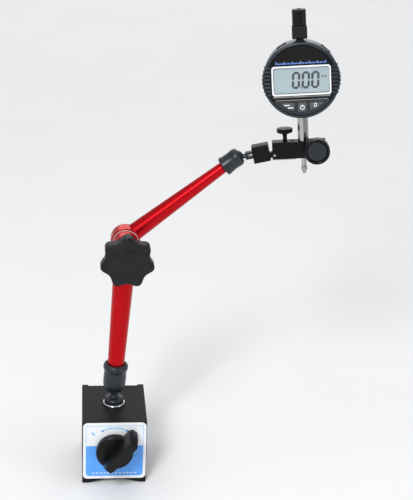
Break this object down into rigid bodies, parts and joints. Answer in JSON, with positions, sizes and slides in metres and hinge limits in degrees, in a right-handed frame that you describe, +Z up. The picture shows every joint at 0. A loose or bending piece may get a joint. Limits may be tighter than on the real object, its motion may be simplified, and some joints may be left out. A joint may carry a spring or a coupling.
{
  "type": "digital indicator on magnetic base",
  "caption": "Digital-display plunger indicator held by a jointed locking arm on a switchable magnetic block base.",
  "frame": {"origin": "centre of the bounding box at rest, at the level of the base's feet", "axes": "+Z up, +X to the right of the front plate, +Y to the rear; the front plate and the display face -Y"},
  "size_m": [0.1868, 0.082, 0.3687],
  "materials": {
    "base_paint": "satin black paint with a fine texture",
    "divider_brass": "machined",
    "plate_enamel": "white enamel, blue lower half",
    "zinc": "bright zinc plate",
    "switch_plastic": "gloss black",
    "magnet": "ground magnet",
    "steel": "turned and polished",
    "slate_metal": "satin dark slate",
    "nylon": "natural",
    "red_anodised": "gloss red anodised",
    "knob_plastic": "matte charcoal",
    "block_black": "blackened steel",
    "case_aluminium": "satin grey",
    "bezel_plastic": "satin slate",
    "case_plastic": "satin black",
    "panel_gloss": "gloss black film",
    "frame_white": "white",
    "window_clear": "clear window",
    "lcd": "grey-green display",
    "board": "solder mask",
    "button_rubber": "soft touch"
  },
  "bodies": {
    "base": {"pole_left": "base_paint", "pole_right": "base_paint", "divider_top_front": "divider_brass", "divider_top_rear": "divider_brass", "divider_bottom": "divider_brass", "rear_cover": "base_paint", "front_plate": "plate_enamel", "stud_washer": "zinc"},
    "switch": {"switch_knob": "switch_plastic", "rotor_shaft": "steel", "rotor_magnet": "magnet"},
    "ball_stud": {"lower_ball_stud": "slate_metal"},
    "lower_seat": {"lower_ball_seat": "nylon"},
    "lower_arm": {"lower_arm_tube": "red_anodised", "lower_collar": "slate_metal", "lower_push_rod": "steel", "elbow_washer": "nylon"},
    "elbow_knob": {"star_knob": "knob_plastic", "star_knob_cap": "knob_plastic", "elbow_bolt": "steel"},
    "upper_arm": {"upper_arm_tube": "red_anodised", "upper_push_rod": "steel", "upper_collar": "slate_metal"},
    "upper_seat": {"upper_ball_seat": "nylon"},
    "upper_ball": {"upper_ball": "slate_metal"},
    "pivot_link": {"slotted_stem": "slate_metal", "pivot_block": "block_black"},
    "clamp_body": {"clamp_block": "block_black", "pivot_pin": "steel", "leaf_spring": "steel", "set_screw": "slate_metal", "clamp_nut": "slate_metal"},
    "fine_screw": {"fine_screw": "block_black"},
    "clamp_knob": {"clamp_knob": "knob_plastic", "clamp_screw": "steel"},
    "gauge": {"gauge_case": "case_aluminium", "back_cover": "case_plastic", "back_screw_1": "steel", "back_screw_2": "steel", "back_screw_3": "steel", "back_screw_4": "steel", "gauge_stem": "steel", "spindle_housing": "case_plastic", "top_cap": "case_plastic", "battery": "steel", "battery_drawer": "case_plastic", "data_port_plug": "case_plastic", "return_spring": "steel"},
    "face": {"bezel": "bezel_plastic", "face_panel": "panel_gloss", "window_frame": "frame_white", "display_window": "window_clear", "lcd_panel": "lcd", "circuit_board": "board"},
    "button_left": {"button_left": "button_rubber"},
    "button_middle": {"button_middle": "button_rubber"},
    "button_right": {"button_right": "button_rubber"},
    "spindle": {"spindle": "steel", "contact_point": "steel", "scale_strip": "case_aluminium"}
  },
  "joints": [
    {"name": "switch_turn", "type": "hinge", "parent": "base", "child": "switch", "pos_m": [-0.06844, 0.011, 0.031], "axis": [0, -1, 0], "range_deg": [0, 85]},
    {"name": "lower_ball_swivel", "type": "hinge", "parent": "base", "child": "ball_stud", "pos_m": [-0.06844, 0.011, 0.0725], "axis": [0, 0, 1], "continuous": true},
    {"name": "lower_ball_tilt", "type": "hinge", "parent": "ball_stud", "child": "lower_seat", "pos_m": [-0.06844, 0.011, 0.0725], "axis": [0, 1, 0], "range_deg": [-33, 26]},
    {"name": "lower_ball_twist", "type": "hinge", "parent": "lower_seat", "child": "lower_arm", "pos_m": [-0.06844, 0.011, 0.0725], "axis": [0.0614, 0, 0.9981], "continuous": true},
    {"name": "elbow_knob_turn", "type": "hinge", "parent": "lower_arm", "child": "elbow_knob", "pos_m": [-0.06125, 0.011, 0.18938], "axis": [0, -1, 0], "range_deg": [0, 540]},
    {"name": "elbow_swing", "type": "hinge", "parent": "lower_arm", "child": "upper_arm", "pos_m": [-0.06125, 0.011, 0.18938], "axis": [0, -1, 0], "range_deg": [-60, 120]},
    {"name": "upper_ball_swivel", "type": "hinge", "parent": "upper_arm", "child": "upper_seat", "pos_m": [0.02085, 0.0275, 0.25563], "axis": [0.7782, 0, 0.628], "continuous": true},
    {"name": "upper_ball_tilt", "type": "hinge", "parent": "upper_seat", "child": "upper_ball", "pos_m": [0.02085, 0.0275, 0.25563], "axis": [0.1982, 0.9489, -0.2456], "range_deg": [-57, 7]},
    {"name": "upper_ball_roll", "type": "hinge", "parent": "upper_ball", "child": "pivot_link", "pos_m": [0.02085, 0.0275, 0.25563], "axis": [0.9561, -0.132, 0.2615], "range_deg": [-180, 180]},
    {"name": "fine_tilt", "type": "hinge", "parent": "pivot_link", "child": "clamp_body", "pos_m": [0.04911, 0.02338, 0.26037], "axis": [-0.156, -0.985, 0.0732], "range_deg": [-2.5, 7.5]},
    {"name": "fine_screw_turn", "type": "hinge", "parent": "clamp_body", "child": "fine_screw", "pos_m": [0.05707, 0.02218, 0.26124], "axis": [-0.0953, 0.0888, 0.9915], "range_deg": [-255, 765]},
    {"name": "clamp_knob_turn", "type": "hinge", "parent": "clamp_body", "child": "clamp_knob", "pos_m": [0.07951, 0.0191, 0.26761], "axis": [-0.156, -0.985, 0.0732], "range_deg": [0, 720]},
    {"name": "gauge_turn", "type": "hinge", "parent": "clamp_body", "child": "gauge", "pos_m": [0.07014, 0.02045, 0.26583], "axis": [-0.0953, 0.0888, 0.9915], "continuous": true},
    {"name": "face_turn", "type": "hinge", "parent": "gauge", "child": "face", "pos_m": [0.06507, 0.02518, 0.31858], "axis": [-0.156, -0.985, 0.0732], "range_deg": [-135, 135]},
    {"name": "button_left_press", "type": "slide", "parent": "face", "child": "button_left", "axis": [0.156, 0.985, -0.0732], "range_m": [0, 0.0006], "stiffness_N_per_m": 600, "springref_m": -0.0003},
    {"name": "button_middle_press", "type": "slide", "parent": "face", "child": "button_middle", "axis": [0.156, 0.985, -0.0732], "range_m": [0, 0.0006], "stiffness_N_per_m": 600, "springref_m": -0.0003},
    {"name": "button_right_press", "type": "slide", "parent": "face", "child": "button_right", "axis": [0.156, 0.985, -0.0732], "range_m": [0, 0.0006], "stiffness_N_per_m": 600, "springref_m": -0.0003},
    {"name": "spindle_travel", "type": "slide", "parent": "gauge", "child": "spindle", "axis": [-0.0953, 0.0888, 0.9915], "range_m": [0, 0.0127], "stiffness_N_per_m": 40, "springref_m": -0.012}
  ],
  "couplings": [
    {"joint": "fine_screw_turn", "follows": "fine_tilt", "ratio": 101.8}
  ]
}
